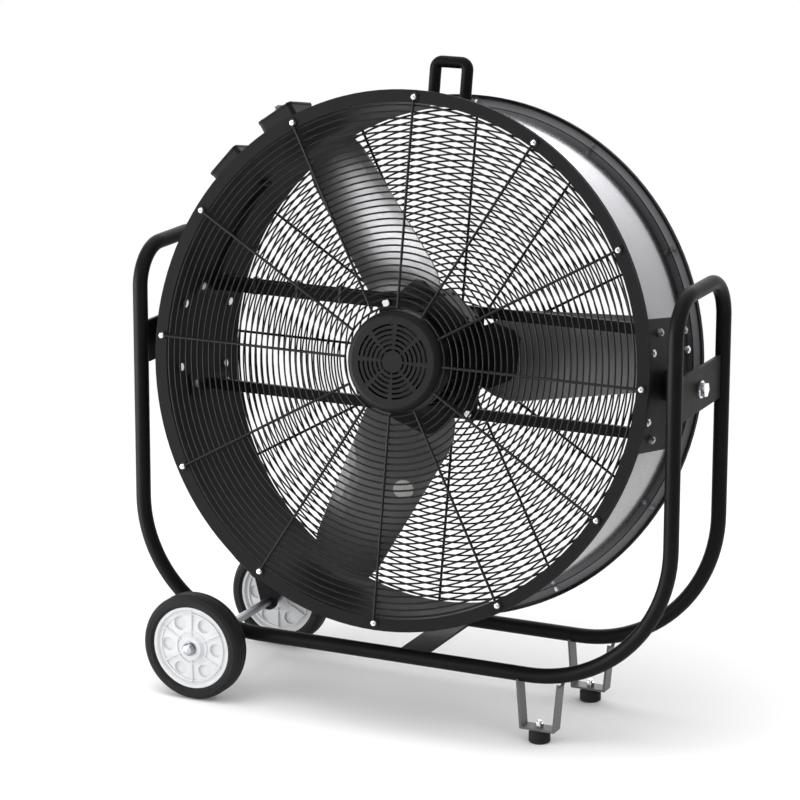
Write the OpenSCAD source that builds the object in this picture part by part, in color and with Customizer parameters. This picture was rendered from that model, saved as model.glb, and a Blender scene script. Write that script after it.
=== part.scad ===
// Portable drum fan: a steel drum with a direct-driven three-blade rotor,
// tilting in a bent-tube cradle that stands on two wheels and two rubber feet.
// Origin: on the floor under the middle of the fan. +Z is up and -Y is the
// motor side of the drum.

/* [Drum] */
// Inside diameter of the drum wall
drum_bore = 934; // [915:1:950]
// Length of the drum along its axis
drum_len = 287; // [270:1:310]
// Sheet thickness of the drum
sheet = 2; // [1.5:0.5:3]
// Width of the flange at each end of the drum
flange_w = 21; // [18:1:26]
// Depth of the lip that stiffens each flange
lip = 12; // [6:1:20]
// Tilt of the drum at rest, motor side looking up
drum_tilt = 10; // [0:1:30]

/* [Cradle] */
// Outside diameter of the cradle tube
tube_d = 28; // [25:1:32]
// Wall thickness of the cradle tube
tube_wall = 2; // [1.5:0.5:3]
// Gap between the drum flange and the cradle legs
side_clear = 28; // [24:1:40]
// Gap between the sweep of the drum corners and the bottom tubes
tilt_clear = 11.42; // [8:0.01:16]
// Distance from the middle to the plane of each bent tube
tube_y = 124; // [116:1:132]
// Bend radius of the tubes at the wheel end
bend_wheel = 240; // [220:5:270]
// Bend radius of the tubes at the foot end
bend_foot = 270; // [240:5:290]
// Height of the side arches above the tilting axis
arch_rise = 182; // [170:1:200]
// Bend radius of the side arches
arch_bend = 75; // [60:1:85]
// Height of the plug joint of the arches above the tilting axis
arch_joint = 100; // [90:1:105]
// Length of the plugs that the arches push into the legs
plug_len = 30; // [20:1:50]
// Play between a plug and the leg it sits in
plug_play = 0.2; // [0.1:0.05:0.4]

/* [Pivots] */
// Thickness of the plates between the legs
bracket_t = 6; // [5:1:8]
// Height of the plates between the legs
bracket_h = 80; // [64:1:100]
// Diameter of the pivot bolts
pivot_d = 16; // [12:1:20]
// Radial play of a turning pin in its hole
run_play = 0.05; // [0.02:0.01:0.1]
// Diameter of the bosses on the drum
boss_d = 56; // [50:1:64]
// Thickness of the friction discs
disc_t = 4.5; // [3:0.5:6]
// Height of the stiffening plates on the drum wall
saddle_h = 240; // [236:1:270]
// Thickness of the stiffening plates on the drum wall
saddle_t = 4; // [3:0.5:6]
// Length of the stiffening plates along the drum
saddle_w = 210; // [204:1:230]
// Height of the plate bolts beside the tilting axis
saddle_bolt_z = 60; // [50:1:66]

/* [Wheels and feet] */
// Diameter of the wheels
wheel_d = 203; // [195:1:210]
// Width of the tyres
wheel_w = 45; // [38:1:50]
// Distance from the middle of the fan to the axle
axle_x = 395; // [380:1:410]
// Diameter of the axle
axle_d = 16; // [12:1:20]
// Gap between the cradle tube and the wheel
wheel_gap = 17; // [14:1:24]
// Diameter of the wheel hubs
hub_d = 158; // [140:1:166]
// Distance from the middle of the fan to the feet
foot_x = 286; // [270:1:300]
// Height of the foot straps from the rubber to the tube
strap_h = 86; // [76:1:100]
// Width of a foot strap at the tube
strap_top = 84; // [70:1:100]
// Width of a foot strap at the rubber
strap_bottom = 68; // [56:1:76]
// Thickness of the foot straps
strap_t = 4; // [3:0.5:5]
// Height of the rubber feet
rubber_h = 24; // [18:1:30]
// Diameter of the rubber feet
rubber_d = 40; // [34:1:48]

/* [Guards] */
// Diameter of the radial guard wires
spoke_d = 5; // [4:0.5:6]
// Diameter of the guard rings
ring_d = 2.6; // [2:0.1:3.2]
// Number of radial wires and of guard screws
spokes = 12; // [8:1:16]
// Distance between two guard rings
ring_pitch = 12; // [11:0.5:16]
// Diameter of the circle of guard screws
screw_circle = 954; // [950:1:960]

/* [Motor] */
// Distance from the middle of the drum back to the cross bars
bar_back = 20; // [16:1:26]
// Height of the cross bars above and below the drum axis
bar_z = 94; // [90:1:100]
// Width of the square cross bars
bar_w = 20; // [16:1:24]
// Diameter of the motor body over its fins
motor_d = 176; // [166:1:180]
// Diameter of the fan cowl of the motor
cowl_d = 186; // [182:1:190]
// How far the cowl reaches in front of the middle of the drum
cowl_front = 151; // [148:1:156]
// Diameter of the motor flange
motor_flange_d = 200; // [190:1:206]
// Diameter of the motor shaft
shaft_d = 24; // [19:1:28]

/* [Rotor] */
// Distance from the middle of the drum back to the rotor
rotor_back = 80; // [76:1:86]
// Turn of the rotor at rest
rotor_turn = 6.5; // [0:0.5:119]
// Diameter over the blade tips
rotor_d = 910; // [880:1:914]
// Blade pitch at the root
pitch_root = 20; // [14:1:22]
// Blade pitch at the tip
pitch_tip = 10; // [6:1:14]
// Half width of a blade at its widest
blade_half_root = 88; // [76:1:92]
// Half width of a blade at its tip
blade_half_tip = 66; // [56:1:74]
// Depth of the blade camber
camber = 11; // [6:1:14]
// Thickness of the blades
blade_t = 3; // [2:0.5:4]
// Thickness of the arms of the hub plate
arm_t = 5; // [4:0.5:6]
// Reach of the arms of the hub plate
arm_r = 150; // [142:1:158]

/* [Handle and boxes] */
// Height of the carrying handle above the flange
handle_rise = 67; // [56:1:80]
// Width of the carrying handle over its tube
handle_w = 86; // [80:1:110]
// Diameter of the handle tube
handle_d = 22; // [18:1:25]
// Distance of the handle from the middle of the drum, to the left
handle_left = 8; // [0:1:20]
// Distance of the handle behind the middle of the drum
handle_back = 30; // [20:1:40]
// Place of the switch box round the drum
switch_angle = 125.5; // [123:0.5:127]
// Place of the capacitor box round the drum
cap_angle = 140.5; // [139:0.5:143]
// Length of the boxes along the drum
box_len = 95; // [86:1:100]
// Distance of the boxes in front of the middle of the drum
box_front = 45; // [38:1:52]
// Width of the switch box
switch_w = 76; // [68:1:84]
// Height of the switch box above the drum wall
switch_h = 54; // [44:1:58]
// Width of the capacitor box
cap_w = 74; // [68:1:80]
// Height of the capacitor box above the drum wall
cap_h = 52; // [44:1:56]
// Diameter of the selector knob
knob_d = 44; // [36:1:50]
// Bore of the cable gland
gland_bore = 11; // [8:0.5:13]
// Diameter of the motor lead
lead_d = 9; // [7:0.5:10]

/* [Hidden] */
$fn = 96;
tube_r = tube_d / 2;
bore_r = drum_bore / 2;
wall_r = bore_r + sheet;
flange_r = wall_r + flange_w;
half_len = drum_len / 2;
sweep_r = sqrt(pow(flange_r, 2) + pow(half_len, 2));
leg_x = flange_r + side_clear + tube_r;
base_drop = sweep_r + tilt_clear + tube_r;
base_z = rubber_h + strap_h + tube_r;
pivot_height = base_z + base_drop;
seat_gap = 0.3;

saddle_r = wall_r + saddle_t;
saddle_bolt_y = saddle_w / 2 - 16;
bracket_in = leg_x - bracket_t / 2;
bracket_out = leg_x + bracket_t / 2;
boss_end = bracket_in - seat_gap - disc_t;
bolt_d = 8;
hex_flat = 13;
screw_d = 5;
hole_play = 0.1;

bar_bolt_gap = 62;
bar_angle = asin(bar_z / bore_r);
bar_foot_t = 4;
bar_foot_r = bore_r - bar_foot_t;
bar_foot_half = 18;
bar_front = -bar_back + bar_w / 2;
plate_t = 6;
plate_half = 105;
plate_front = bar_front + plate_t;
flange_t = 12;
body_back = plate_front + flange_t;
cowl_t = 2;
cowl_len = 50;
cowl_round = 12;
cowl_seat = 10;
vent_rows = 6;
vent_w = 3.5;
vent_pitch = 9;
cool_t = 3;
cool_vanes = 7;
body_front = cowl_front - 42;
spigot_r = 65;
box_foot = motor_d / 2 - 4;
term_angle = 52;
term_w = 80;
term_len = 60;
term_h = 48;
term_mid = (body_back + body_front) / 2 - 4;
lid_t = 4;

rotor_plane = -rotor_back;
tip_r = rotor_d / 2;
root_r = 85;
flat_r = arm_r + 8;
blade_rows = 12;
root_rows = 3;
blade_cols = 8;
hub_r = 36;
hub_half = 20;

wheel_r = wheel_d / 2;
wheel_in = tube_y + tube_r + wheel_gap;
wheel_mid = wheel_in + wheel_w / 2;
wheel_out = wheel_in + wheel_w;
axle_r = axle_d / 2;
bush_r = axle_r + 4;
strap_w = 30;

spoke_n = half_len + spoke_d / 2;
ring_n = spoke_n - spoke_d / 2 - ring_d / 2;
ring_out = bore_r - 5;
front_ring_in = cowl_d / 2 + 6;
rear_ring_in = 20;
screw_r = screw_circle / 2;
tab_r = 8;
tab_t = 2.5;

handle_top = flange_r + handle_rise - handle_d / 2;
handle_half = handle_w / 2 - handle_d / 2;
handle_bend = handle_d / 2 + 2;

lead_y = bar_z + bar_w / 2 + lead_d / 2;
lead_n = bar_front - lead_d / 2 - 0.5;
lead_arc_r = bore_r - lead_d / 2 - 0.5;
lead_turn = 180 - asin(lead_y / lead_arc_r);
lead_entry = box_front - box_len / 2 + 20;
tie_count = 3;
tie_w = 5;
tie_t = 1.2;
gland_out = wall_r + cap_h / 2 + 4;
knob_h = 14;
knob_base = wall_r + switch_h + lid_t + seat_gap;

// Drum frame: x to the right, y up the drum, z out of the motor side
module in_drum() {
    translate([0, 0, pivot_height]) rotate([90 - drum_tilt, 0, 0]) children();
}

// Puts a radial piece, modelled along x, at an angle round the drum
module round_drum(angle, n = 0) {
    rotate([0, 0, angle]) translate([0, 0, n]) children();
}

// Cylinder along x between two distances from the drum axis
module radial_pin(from, to, r) {
    translate([from, 0, 0]) rotate([0, 90, 0]) cylinder(h = to - from, r = r);
}

// Hexagon along x
module radial_hex(from, to, flat) {
    translate([from, 0, 0]) rotate([0, 90, 0])
        cylinder(h = to - from, r = flat / sqrt(3), $fn = 6);
}

module ring(r_out, r_in, h) {
    difference() {
        cylinder(h = h, r = r_out);
        translate([0, 0, -1]) cylinder(h = h + 2, r = r_in);
    }
}

// Block with four rounded edges along z
module rounded_block(w, l, h, r) {
    translate([-w / 2 + r, -l / 2, 0]) cube([w - 2 * r, l, h]);
    translate([-w / 2, -l / 2 + r, 0]) cube([w, l - 2 * r, h]);
    for (sx = [-1, 1], sy = [-1, 1])
        translate([sx * (w / 2 - r), sy * (l / 2 - r), 0]) cylinder(h = h, r = r);
}

// Box on the drum wall: width round the drum, length along it
module wall_box(w, l, from, to, r) {
    translate([from, 0, 0]) rotate([0, 90, 0]) rotate([0, 0, 90])
        rounded_block(w, l, to - from, r);
}

// Solid path of one bent cradle tube, in the plane y = 0
module cradle_path(r, extra) {
    leg_top = pivot_height + arch_joint + extra;
    for (s = [[-1, bend_wheel], [1, bend_foot]]) {
        bend = s[1];
        translate([s[0] * leg_x, 0, base_z + bend])
            cylinder(h = leg_top - base_z - bend, r = r);
        translate([s[0] * (leg_x - bend), 0, base_z + bend]) rotate([90, 0, 0])
            rotate([0, 0, s[0] < 0 ? 180 : 270])
            rotate_extrude(angle = 90) translate([bend, 0]) circle(r = r);
    }
    translate([-leg_x + bend_wheel, 0, base_z]) rotate([0, 90, 0])
        cylinder(h = 2 * leg_x - bend_wheel - bend_foot, r = r);
}

module cradle_tube(side) {
    color("#26272a") translate([0, side * tube_y, 0]) difference() {
        cradle_path(tube_r, 0);
        cradle_path(tube_r - tube_wall, 1);
    }
}

// Solid path of a side arch: x runs along the fan, y runs up
module arch_path(r, extra) {
    run = 2 * (tube_y - arch_bend);
    for (s = [-1, 1]) {
        translate([s * tube_y, arch_joint - extra, 0]) rotate([-90, 0, 0])
            cylinder(h = arch_rise - arch_bend - arch_joint + extra, r = r);
        translate([s * (tube_y - arch_bend), arch_rise - arch_bend, 0])
            rotate([0, 0, s > 0 ? 0 : 90])
            rotate_extrude(angle = 90) translate([arch_bend, 0]) circle(r = r);
    }
    translate([-run / 2, arch_rise, 0]) rotate([0, 90, 0])
        cylinder(h = run, r = r);
}

module arch_tube(side) {
    inner = tube_r - tube_wall;
    collar = 6;
    color("#26272a") translate([side * leg_x, 0, pivot_height])
        rotate([90, 0, 90]) {
        difference() {
            arch_path(tube_r, 0);
            arch_path(inner, 1);
        }
        for (s = [-1, 1]) translate([s * tube_y, arch_joint, 0]) rotate([90, 0, 0])
            difference() {
                union() {
                    cylinder(h = plug_len, r = inner - plug_play);
                    translate([0, 0, -collar]) cylinder(h = collar, r = inner);
                }
                translate([0, 0, -collar - 1])
                    cylinder(h = plug_len + collar + 2, r = inner - tube_wall);
            }
    }
}

module front_cradle_tube() { cradle_tube(-1); }
module rear_cradle_tube() { cradle_tube(1); }
module left_arch_tube() { arch_tube(-1); }
module right_arch_tube() { arch_tube(1); }

// Plate between two legs, saddle-cut onto both tubes
module bracket(side) {
    color("#26272a") difference() {
        translate([side * leg_x - bracket_t / 2, -tube_y, pivot_height - bracket_h / 2])
            cube([bracket_t, 2 * tube_y, bracket_h]);
        for (s = [-1, 1]) translate([side * leg_x, s * tube_y, pivot_height - bracket_h])
            cylinder(h = 2 * bracket_h, r = tube_r);
        translate([side * leg_x - bracket_t, 0, pivot_height]) rotate([0, 90, 0])
            cylinder(h = 2 * bracket_t, r = pivot_d / 2 + run_play);
    }
}

module left_bracket() { bracket(-1); }
module right_bracket() { bracket(1); }

module base_cross_plate() {
    plate_x = 20;
    plate_w = 56;
    thick = 5;
    color("#26272a") difference() {
        translate([plate_x - plate_w / 2, -tube_y, base_z - thick / 2])
            cube([plate_w, 2 * tube_y, thick]);
        for (s = [-1, 1]) translate([plate_x - plate_w, s * tube_y, base_z])
            rotate([0, 90, 0]) cylinder(h = 2 * plate_w, r = tube_r);
    }
}

// Hangers under the bends of the tubes, which carry the axle
module axle_brackets() {
    thick = 6;
    eye_r = 18;
    bend_x = -leg_x + bend_wheel;
    color("#26272a") for (s = [-1, 1]) translate([0, s * tube_y, 0]) difference() {
        translate([0, thick / 2, 0]) rotate([90, 0, 0]) linear_extrude(thick) {
            translate([-axle_x, wheel_r]) circle(r = eye_r);
            polygon([[-axle_x - eye_r, wheel_r], [-axle_x + eye_r, wheel_r],
                [-axle_x + 2 * eye_r, base_z + 8], [-axle_x - 2 * eye_r, base_z + 44]]);
        }
        translate([bend_x, 0, base_z + bend_wheel]) rotate([90, 0, 0])
            rotate([0, 0, 180]) rotate_extrude(angle = 90)
            translate([bend_wheel, 0]) circle(r = tube_r);
        translate([bend_x - 1, 0, base_z]) rotate([0, 90, 0])
            cylinder(h = 3 * eye_r, r = tube_r);
        translate([-axle_x, thick, wheel_r]) rotate([90, 0, 0])
            cylinder(h = 2 * thick, r = axle_r);
    }
}

module on_axle(y) {
    translate([-axle_x, y, wheel_r]) rotate([-90, 0, 0]) children();
}

washer_t = 2;
cap_len = 10;
axle_end = wheel_out + seat_gap + washer_t + cap_len - 3.3;

module wheel_axle() {
    color("#8d9095") on_axle(-axle_end) cylinder(h = 2 * axle_end, r = axle_r);
}

module axle_spacers() {
    from = tube_y + 3;
    to = wheel_in - 2 * seat_gap - washer_t;
    color("#8d9095") for (s = [-1, 1]) on_axle(s > 0 ? from : -to)
        ring(bush_r, axle_r, to - from);
}

module axle_washers() {
    color("#b9bcc0") for (s = [-1, 1], y = [wheel_in - seat_gap - washer_t, wheel_out + seat_gap])
        on_axle(s > 0 ? y : -y - washer_t) ring(bush_r + 2, axle_r, washer_t);
}

module axle_caps() {
    from = wheel_out + seat_gap + washer_t;
    rim = axle_r + 4;
    nose = axle_r + 1;
    color("#b9bcc0") for (s = [-1, 1]) translate([-axle_x, s * from, wheel_r])
        rotate([-90 * s, 0, 0]) difference() {
            rotate_extrude() polygon([[0, 0], [rim, 0], [rim, cap_len / 2],
                [nose, cap_len - 1], [0, cap_len]]);
            translate([0, 0, -1]) cylinder(h = axle_end - from + 1, r = axle_r);
        }
}

// Trapezoid strap under a bottom tube
module foot_strap(side) {
    top = base_z - tube_r / 2;
    low = rubber_h;
    a = strap_top / 2;
    b = strap_bottom / 2;
    color("#74777b") difference() {
        translate([foot_x, side * tube_y + strap_w / 2, 0]) rotate([90, 0, 0])
            linear_extrude(strap_w) difference() {
            polygon([[-b, low], [b, low], [a, top], [-a, top]]);
            polygon([[-b + strap_t, low + strap_t], [b - strap_t, low + strap_t],
                [a - strap_t, top + 1], [-a + strap_t, top + 1]]);
        }
        translate([foot_x - strap_top, side * tube_y, base_z]) rotate([0, 90, 0])
            cylinder(h = 2 * strap_top, r = tube_r);
        translate([foot_x, side * tube_y, 0]) cylinder(h = low + 2 * strap_t, r = bolt_d / 2);
    }
}

module front_foot_strap() { foot_strap(-1); }
module rear_foot_strap() { foot_strap(1); }

module foot_rubber(side) {
    r = rubber_d / 2;
    color("#1b1b1c") translate([foot_x, side * tube_y, 0]) difference() {
        rotate_extrude() polygon([[0, 0], [r - 2, 0], [r, 2], [r, rubber_h - 6],
            [r - 3, rubber_h], [0, rubber_h]]);
        translate([0, 0, rubber_h / 2]) cylinder(h = rubber_h, r = bolt_d / 2);
    }
}

module front_foot_rubber() { foot_rubber(-1); }
module rear_foot_rubber() { foot_rubber(1); }

module foot_bolts() {
    seat = rubber_h + strap_t;
    color("#b9bcc0") for (s = [-1, 1]) translate([foot_x, s * tube_y, 0]) {
        translate([0, 0, rubber_h / 2]) cylinder(h = seat - rubber_h / 2 + 12, r = bolt_d / 2);
        translate([0, 0, seat]) cylinder(h = 7, r = hex_flat / sqrt(3), $fn = 6);
    }
}

// Tyre with a rounded tread and a pocket for the hub
module tyre(side) {
    r = wheel_r;
    hw = wheel_w / 2;
    h = hub_d / 2;
    color("#1c1d1f") on_axle(side * wheel_mid) rotate_extrude() {
        difference() {
            polygon([[h, -hw + 4], [h + 5, -hw], [r - 9, -hw], [r - 3, -hw + 4],
                [r, -hw + 11], [r, hw - 11], [r - 3, hw - 4], [r - 9, hw],
                [h + 5, hw], [h, hw - 4]]);
            for (g = [-7, 7]) translate([r, g]) circle(r = 1.6, $fn = 24);
        }
    }
}

module wheel_hub(side) {
    h = hub_d / 2;
    hw = wheel_w / 2;
    boss = 22;
    color("#c9cbcd") on_axle(side * wheel_mid) difference() {
        union() {
            rotate_extrude() polygon([[axle_r + run_play, -hw], [boss, -hw],
                [boss + 2, -hw + 8], [h - 8, -hw + 11], [h - 5, -hw + 5],
                [h, -hw + 5], [h, hw - 5], [h - 5, hw - 5], [h - 8, hw - 11],
                [boss + 2, hw - 8], [boss, hw], [axle_r + run_play, hw]]);
        }
        for (a = [0:60:300], s = [-1, 1]) rotate([0, 0, a])
            translate([(boss + h) / 2, 0, s * (hw - 9)])
            cylinder(h = 12, r = 13, center = true);
    }
}

module front_tyre() { tyre(-1); }
module rear_tyre() { tyre(1); }
module front_wheel_hub() { wheel_hub(-1); }
module rear_wheel_hub() { wheel_hub(1); }

// Places of the plate bolts and of the cross bar bolts on one side
saddle_bolts_at = [for (z = [-1, 1], n = [-1, 1])
    [z * asin(saddle_bolt_z / bore_r), n * saddle_bolt_y]];
bar_bolts_at = [for (z = [-1, 1], n = [-1, 1])
    [z * bar_angle, -bar_back + n * bar_bolt_gap]];

module wall_bolt_holes(from, to) {
    for (side = [0, 180], b = concat(saddle_bolts_at, bar_bolts_at))
        round_drum(side + b[0], b[1]) radial_pin(from, to, bolt_d / 2 + hole_play);
}

module drum_shell() {
    color("#202124") in_drum() difference() {
        rotate_extrude($fn = 180) {
            translate([bore_r, -half_len]) square([sheet, drum_len]);
            for (s = [-1, 1]) translate([0, s * half_len]) mirror([0, s > 0 ? 1 : 0]) {
                translate([wall_r, 0]) square([flange_w, sheet]);
                translate([flange_r - sheet, 0]) square([sheet, lip]);
            }
        }
        wall_bolt_holes(bore_r - 5, wall_r + 5);
        for (a = [0:spokes - 1]) rotate([0, 0, a * 360 / spokes])
            translate([screw_r, 0, -half_len - 5])
            cylinder(h = drum_len + 10, r = screw_d / 2 + hole_play);
        for (s = [-1, 1]) translate([s * handle_half - handle_left, 0, -handle_back])
            rotate([-90, 0, 0]) cylinder(h = flange_r, r = bolt_d / 2 + hole_play);
        round_drum(cap_angle, lead_entry)
            radial_pin(bore_r - 5, wall_r + 5, lead_d / 2 + hole_play);
    }
}

// Curved stiffening plate on the outside of the wall
module saddle_plate(side) {
    half = asin(saddle_h / 2 / saddle_r);
    color("#1b1c1e") in_drum() difference() {
        rotate([0, 0, side - half]) rotate_extrude(angle = 2 * half, $fn = 180)
            translate([wall_r, -saddle_w / 2]) square([saddle_t, saddle_w]);
        wall_bolt_holes(wall_r - 5, saddle_r + 5);
    }
}

module left_saddle_plate() { saddle_plate(180); }
module right_saddle_plate() { saddle_plate(0); }

// Bolt with a flat round head inside the drum and its nut outside
module wall_bolt(head_at, nut_at) {
    radial_pin(head_at - 4, head_at - 0.1, bolt_d * 0.9);
    radial_pin(head_at - 0.1, nut_at + 9, bolt_d / 2);
    difference() {
        radial_hex(nut_at + 0.2, nut_at + 6.7, hex_flat);
        radial_pin(nut_at - 1, nut_at + 8, bolt_d / 2);
    }
}

module saddle_bolts() {
    color("#c4c7ca") in_drum() for (side = [0, 180], b = saddle_bolts_at)
        round_drum(side + b[0], b[1]) wall_bolt(bore_r, saddle_r);
}

module pivot_bosses() {
    color("#1b1c1e") in_drum() for (side = [0, 180]) rotate([0, 0, side]) difference() {
        radial_pin(wall_r - 8, boss_end, boss_d / 2);
        translate([0, 0, -boss_d]) cylinder(h = 2 * boss_d, r = saddle_r, $fn = 180);
        radial_pin(wall_r, boss_end + 1, pivot_d / 2);
    }
}

module friction_discs() {
    color("#2c2c2d") in_drum() for (side = [0, 180]) rotate([0, 0, side]) {
        difference() {
            radial_pin(boss_end, boss_end + disc_t, boss_d / 2 + 4);
            radial_pin(boss_end - 1, boss_end + disc_t + 1, pivot_d / 2);
        }
    }
}

module pivot_bolts() {
    seat = bracket_out + seat_gap;
    washer = 3;
    color("#cfd1d4") in_drum() for (side = [0, 180]) rotate([0, 0, side]) {
        radial_pin(boss_end - 26, seat, pivot_d / 2);
        radial_pin(seat, seat + washer, pivot_d);
        radial_hex(seat + washer, seat + washer + 9, 24);
    }
}

// Bent carrying handle with feet that follow the wall
module top_handle() {
    r = handle_d / 2;
    color("#26272a") in_drum() translate([-handle_left, 0, -handle_back]) difference() {
        union() {
            for (s = [-1, 1]) {
                translate([s * handle_half, wall_r - 6, 0]) rotate([-90, 0, 0])
                    cylinder(h = handle_top - handle_bend - wall_r + 6, r = r);
                translate([s * handle_half, wall_r - 6, 0]) rotate([-90, 0, 0])
                    cylinder(h = 10, r = r + 6);
                translate([s * (handle_half - handle_bend), handle_top - handle_bend, 0])
                    rotate([0, 0, s > 0 ? 0 : 90])
                    rotate_extrude(angle = 90) translate([handle_bend, 0]) circle(r = r);
            }
            translate([-handle_half + handle_bend, handle_top, 0]) rotate([0, 90, 0])
                cylinder(h = 2 * (handle_half - handle_bend), r = r);
        }
        translate([handle_left, 0, -half_len]) cylinder(h = drum_len, r = wall_r, $fn = 180);
        for (s = [-1, 1]) translate([s * handle_half, wall_r - 10, 0])
            rotate([-90, 0, 0]) cylinder(h = 40, r = bolt_d / 2);
    }
}

module handle_bolts() {
    low = sqrt(pow(bore_r, 2) - pow(handle_half + handle_left + 8, 2)) - 0.2;
    color("#c4c7ca") in_drum() for (s = [-1, 1])
        translate([s * handle_half - handle_left, low, -handle_back]) {
        rotate([-90, 0, 0]) cylinder(h = 28, r = bolt_d / 2);
        rotate([90, 0, 0]) cylinder(h = 5.3, r = hex_flat / sqrt(3), $fn = 6);
    }
}

// Radial wires with a screw tab at the rim
module guard_spokes(inner) {
    for (a = [0:spokes - 1]) rotate([0, 0, a * 360 / spokes]) difference() {
        union() {
            translate([0, 0, spoke_n]) radial_pin(inner, screw_r - tab_r + 3, spoke_d / 2);
            translate([screw_r, 0, half_len]) cylinder(h = tab_t, r = tab_r);
        }
        translate([screw_r, 0, half_len - 1])
            cylinder(h = tab_t + 2, r = screw_d / 2 + hole_play);
    }
}

// Concentric rings behind the radial wires, with a thick ring at each edge
module guard_rings(inner) {
    count = floor((ring_out - inner) / ring_pitch);
    for (i = [1:count - 1]) translate([0, 0, ring_n])
        rotate_extrude($fn = 120) translate([ring_out - i * ring_pitch, 0])
        circle(r = ring_d / 2, $fn = 8);
    for (r = [ring_out, inner]) translate([0, 0, spoke_n - spoke_d / 2 - 2])
        rotate_extrude($fn = 120) translate([r, 0]) circle(r = 2, $fn = 8);
}

module front_guard_spokes() {
    color("#1d1e20") in_drum() guard_spokes(front_ring_in - 2);
}

module front_guard_rings() {
    color("#1d1e20") in_drum() guard_rings(front_ring_in);
}

module rear_guard_spokes() {
    color("#1d1e20") in_drum() rotate([180, 0, 0]) {
        guard_spokes(rear_ring_in - 2);
        translate([0, 0, spoke_n]) cylinder(h = spoke_d / 2 + 1.5, r = rear_ring_in + 6);
    }
}

module rear_guard_rings() {
    color("#1d1e20") in_drum() rotate([180, 0, 0]) guard_rings(rear_ring_in);
}

// Pan-head screws through the tabs, with nuts behind the flange
module guard_screws() {
    for (a = [0:spokes - 1]) rotate([0, 0, a * 360 / spokes]) translate([screw_r, 0, 0]) {
        seat = half_len + tab_t;
        translate([0, 0, seat]) rotate_extrude($fn = 32)
            polygon([[0, 0], [5, 0], [5, 1.6], [3.6, 3], [0, 3.4]]);
        translate([0, 0, half_len - 10]) cylinder(h = 10 + tab_t, r = screw_d / 2);
        translate([0, 0, half_len - sheet - 4]) difference() {
            cylinder(h = 4, r = 8 / sqrt(3), $fn = 6);
            translate([0, 0, -1]) cylinder(h = 6, r = screw_d / 2);
        }
    }
}

module front_guard_screws() {
    color("#d5d7d9") in_drum() guard_screws();
}

module rear_guard_screws() {
    color("#d5d7d9") in_drum() rotate([180, 0, 0]) guard_screws();
}

// Square tube cut to the curve of its end feet
module crossbar(side) {
    wall = 2;
    color("#222326") in_drum() intersection() {
        translate([-bore_r, side * bar_z - bar_w / 2, bar_front - bar_w]) difference() {
            cube([drum_bore, bar_w, bar_w]);
            translate([-1, wall, wall]) cube([drum_bore + 2, bar_w - 2 * wall, bar_w - 2 * wall]);
        }
        translate([0, 0, -half_len]) cylinder(h = drum_len, r = bar_foot_r, $fn = 180);
    }
}

module upper_crossbar() { crossbar(1); }
module lower_crossbar() { crossbar(-1); }

module crossbar_feet() {
    half = asin(bar_foot_half / bore_r);
    length = 2 * bar_bolt_gap + 36;
    color("#222326") in_drum() difference() {
        for (side = [0, 180], s = [-1, 1])
            rotate([0, 0, side + s * bar_angle - half])
            rotate_extrude(angle = 2 * half, $fn = 180)
            translate([bar_foot_r, -bar_back - length / 2]) square([bar_foot_t, length]);
        wall_bolt_holes(bar_foot_r - 5, bore_r + 5);
    }
}

module crossbar_bolts() {
    color("#c4c7ca") in_drum() for (side = [0, 180], b = bar_bolts_at)
        round_drum(side + b[0], b[1]) wall_bolt(bar_foot_r, saddle_r);
}

module motor_plate() {
    half_h = bar_z + bar_w / 2;
    color("#222326") in_drum() translate([0, 0, bar_front]) difference() {
        rounded_block(2 * plate_half, 2 * half_h, plate_t, 10);
        translate([0, 0, -1]) cylinder(h = plate_t + 2, r = spigot_r);
        for (sx = [-1, 1], sy = [-1, 1]) {
            translate([sx * (plate_half - 14), sy * bar_z, -1])
                cylinder(h = plate_t + 2, r = bolt_d / 2 + hole_play);
            rotate([0, 0, 45]) translate([sx * 82.5, 0, -1])
                cylinder(h = plate_t + 2, r = bolt_d / 2 + hole_play);
            rotate([0, 0, 45]) translate([0, sy * 82.5, -1])
                cylinder(h = plate_t + 2, r = bolt_d / 2 + hole_play);
        }
    }
}

// Four bolts into the bars and four bolts of the motor flange
module motor_plate_bolts() {
    color("#8d9095") in_drum() {
        for (sx = [-1, 1], sy = [-1, 1])
            translate([sx * (plate_half - 14), sy * bar_z, bar_front]) {
            cylinder(h = plate_t, r = bolt_d / 2);
            translate([0, 0, plate_t]) cylinder(h = 5.3, r = hex_flat / sqrt(3), $fn = 6);
        }
        for (a = [45:90:315]) rotate([0, 0, a]) translate([82.5, 0, bar_front]) {
            cylinder(h = plate_t + flange_t, r = bolt_d / 2);
            translate([0, 0, -5.3]) cylinder(h = 5.3, r = hex_flat / sqrt(3), $fn = 6);
        }
    }
}

// Front end shield of the motor, with the flange and the spigot
module motor_flange() {
    color("#2b2c2f") in_drum() translate([0, 0, plate_front]) difference() {
        union() {
            cylinder(h = flange_t, r = motor_flange_d / 2);
            translate([0, 0, -plate_t - 4]) cylinder(h = plate_t + 4, r = spigot_r - hole_play);
        }
        translate([0, 0, -plate_t - 5]) cylinder(h = flange_t + plate_t + 6, r = shaft_d / 2 + run_play);
        for (a = [45:90:315]) rotate([0, 0, a]) translate([82.5, 0, -1])
            cylinder(h = flange_t + 2, r = bolt_d / 2);
    }
}

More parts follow.
